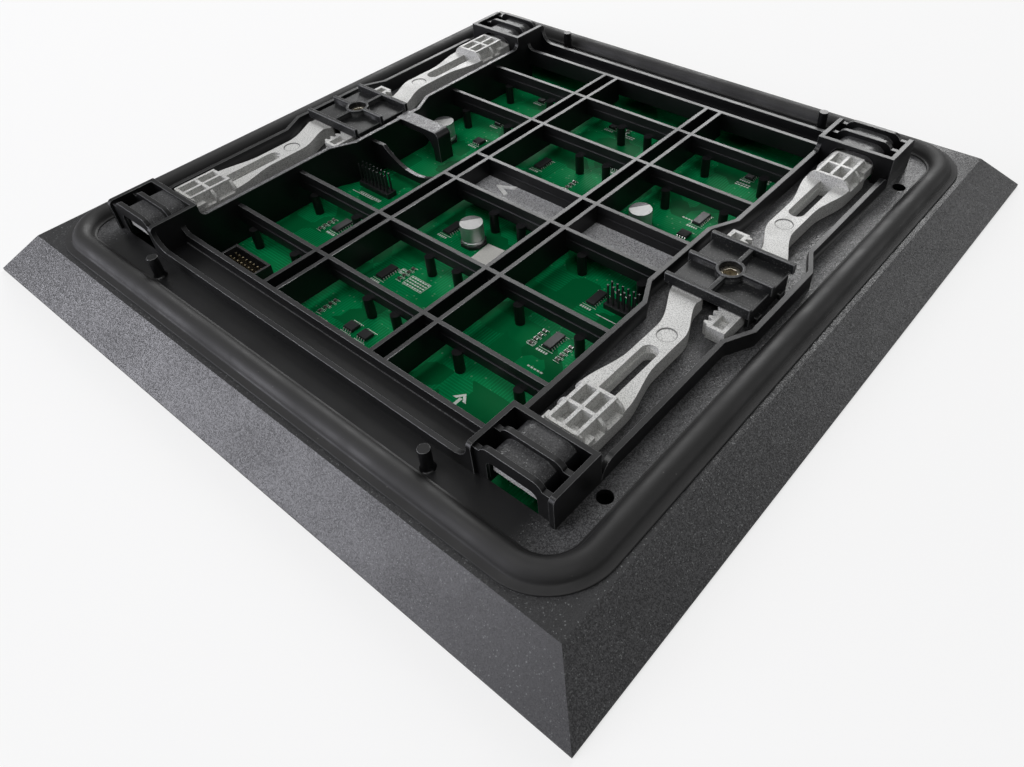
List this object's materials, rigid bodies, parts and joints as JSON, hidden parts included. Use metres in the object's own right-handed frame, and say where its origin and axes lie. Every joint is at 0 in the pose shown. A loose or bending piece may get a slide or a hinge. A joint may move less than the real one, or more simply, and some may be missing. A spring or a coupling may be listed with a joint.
{
  "type": "led display module",
  "caption": "Square lamp panel seen from behind: ribbed back case open to its circuit board, rubber gasket, and rack latches worked by a key.",
  "frame": {"origin": "middle of the lamp face, on the plane it lies on", "axes": "+Z from the lamp face to the back, latches run along Y, +X to the right seen from behind with +Y up"},
  "size_m": [0.32, 0.32, 0.0303],
  "materials": {
    "case_plastic": "fine grained black moulding",
    "gasket_rubber": "satin black rubber",
    "mask_plastic": "matt black",
    "board_green": "glossy green solder mask over copper",
    "lamp_white": "glossy white with a clear face",
    "screw_steel": "blackened steel",
    "chip_black": "moulded black epoxy",
    "passive_tan": "ceramic with tinned ends",
    "can_metal": "bright drawn aluminium",
    "base_black": "moulded black",
    "header_black": "moulded black",
    "pin_metal": "gold flashed",
    "sticker_white": "blank paper",
    "cover_plastic": "textured dark grey moulding",
    "spindle_brass": "nickel flashed brass",
    "seal_rubber": "black rubber",
    "arm_metal": "sand-blasted die casting"
  },
  "bodies": {
    "module": {"back_case": "case_plastic", "sealing_gasket": "gasket_rubber", "front_mask": "mask_plastic", "circuit_board": "board_green", "led_lamps": "lamp_white", "mask_screws": "screw_steel", "driver_chips": "chip_black", "logic_chips": "chip_black", "chip_passives": "passive_tan", "capacitor_cans": "can_metal", "capacitor_bases": "base_black", "data_header": "header_black", "data_header_pins": "pin_metal", "pin_headers": "header_black", "pin_header_pins": "pin_metal", "board_sticker": "sticker_white", "lock_cover_left": "cover_plastic", "lock_cover_right": "cover_plastic"},
    "spindle_left": {"lock_spindle_left": "spindle_brass", "spindle_seal_left": "seal_rubber"},
    "spindle_right": {"lock_spindle_right": "spindle_brass", "spindle_seal_right": "seal_rubber"},
    "arm_left_near": {"latch_arm_left_near": "arm_metal"},
    "arm_left_far": {"latch_arm_left_far": "arm_metal"},
    "arm_right_near": {"latch_arm_right_near": "arm_metal"},
    "arm_right_far": {"latch_arm_right_far": "arm_metal"}
  },
  "joints": [
    {"name": "left_near_slide", "type": "slide", "parent": "module", "child": "arm_left_near", "axis": [0, -1, 0], "range_m": [0, 0.00942]},
    {"name": "left_far_slide", "type": "slide", "parent": "module", "child": "arm_left_far", "axis": [0, 1, 0], "range_m": [0, 0.00942]},
    {"name": "left_key_turn", "type": "hinge", "parent": "module", "child": "spindle_left", "pos_m": [-0.104, 0, 0.016], "axis": [0, 0, 1], "range_deg": [0, 90]},
    {"name": "right_near_slide", "type": "slide", "parent": "module", "child": "arm_right_near", "axis": [0, -1, 0], "range_m": [0, 0.00942]},
    {"name": "right_far_slide", "type": "slide", "parent": "module", "child": "arm_right_far", "axis": [0, 1, 0], "range_m": [0, 0.00942]},
    {"name": "right_key_turn", "type": "hinge", "parent": "module", "child": "spindle_right", "pos_m": [0.104, 0, 0.016], "axis": [0, 0, 1], "range_deg": [0, 90]}
  ],
  "couplings": [
    {"joint": "left_far_slide", "follows": "left_near_slide", "ratio": 1},
    {"joint": "left_key_turn", "follows": "left_near_slide", "rad_per_m": 166.67},
    {"joint": "right_far_slide", "follows": "right_near_slide", "ratio": 1},
    {"joint": "right_key_turn", "follows": "right_near_slide", "rad_per_m": 166.67}
  ]
}
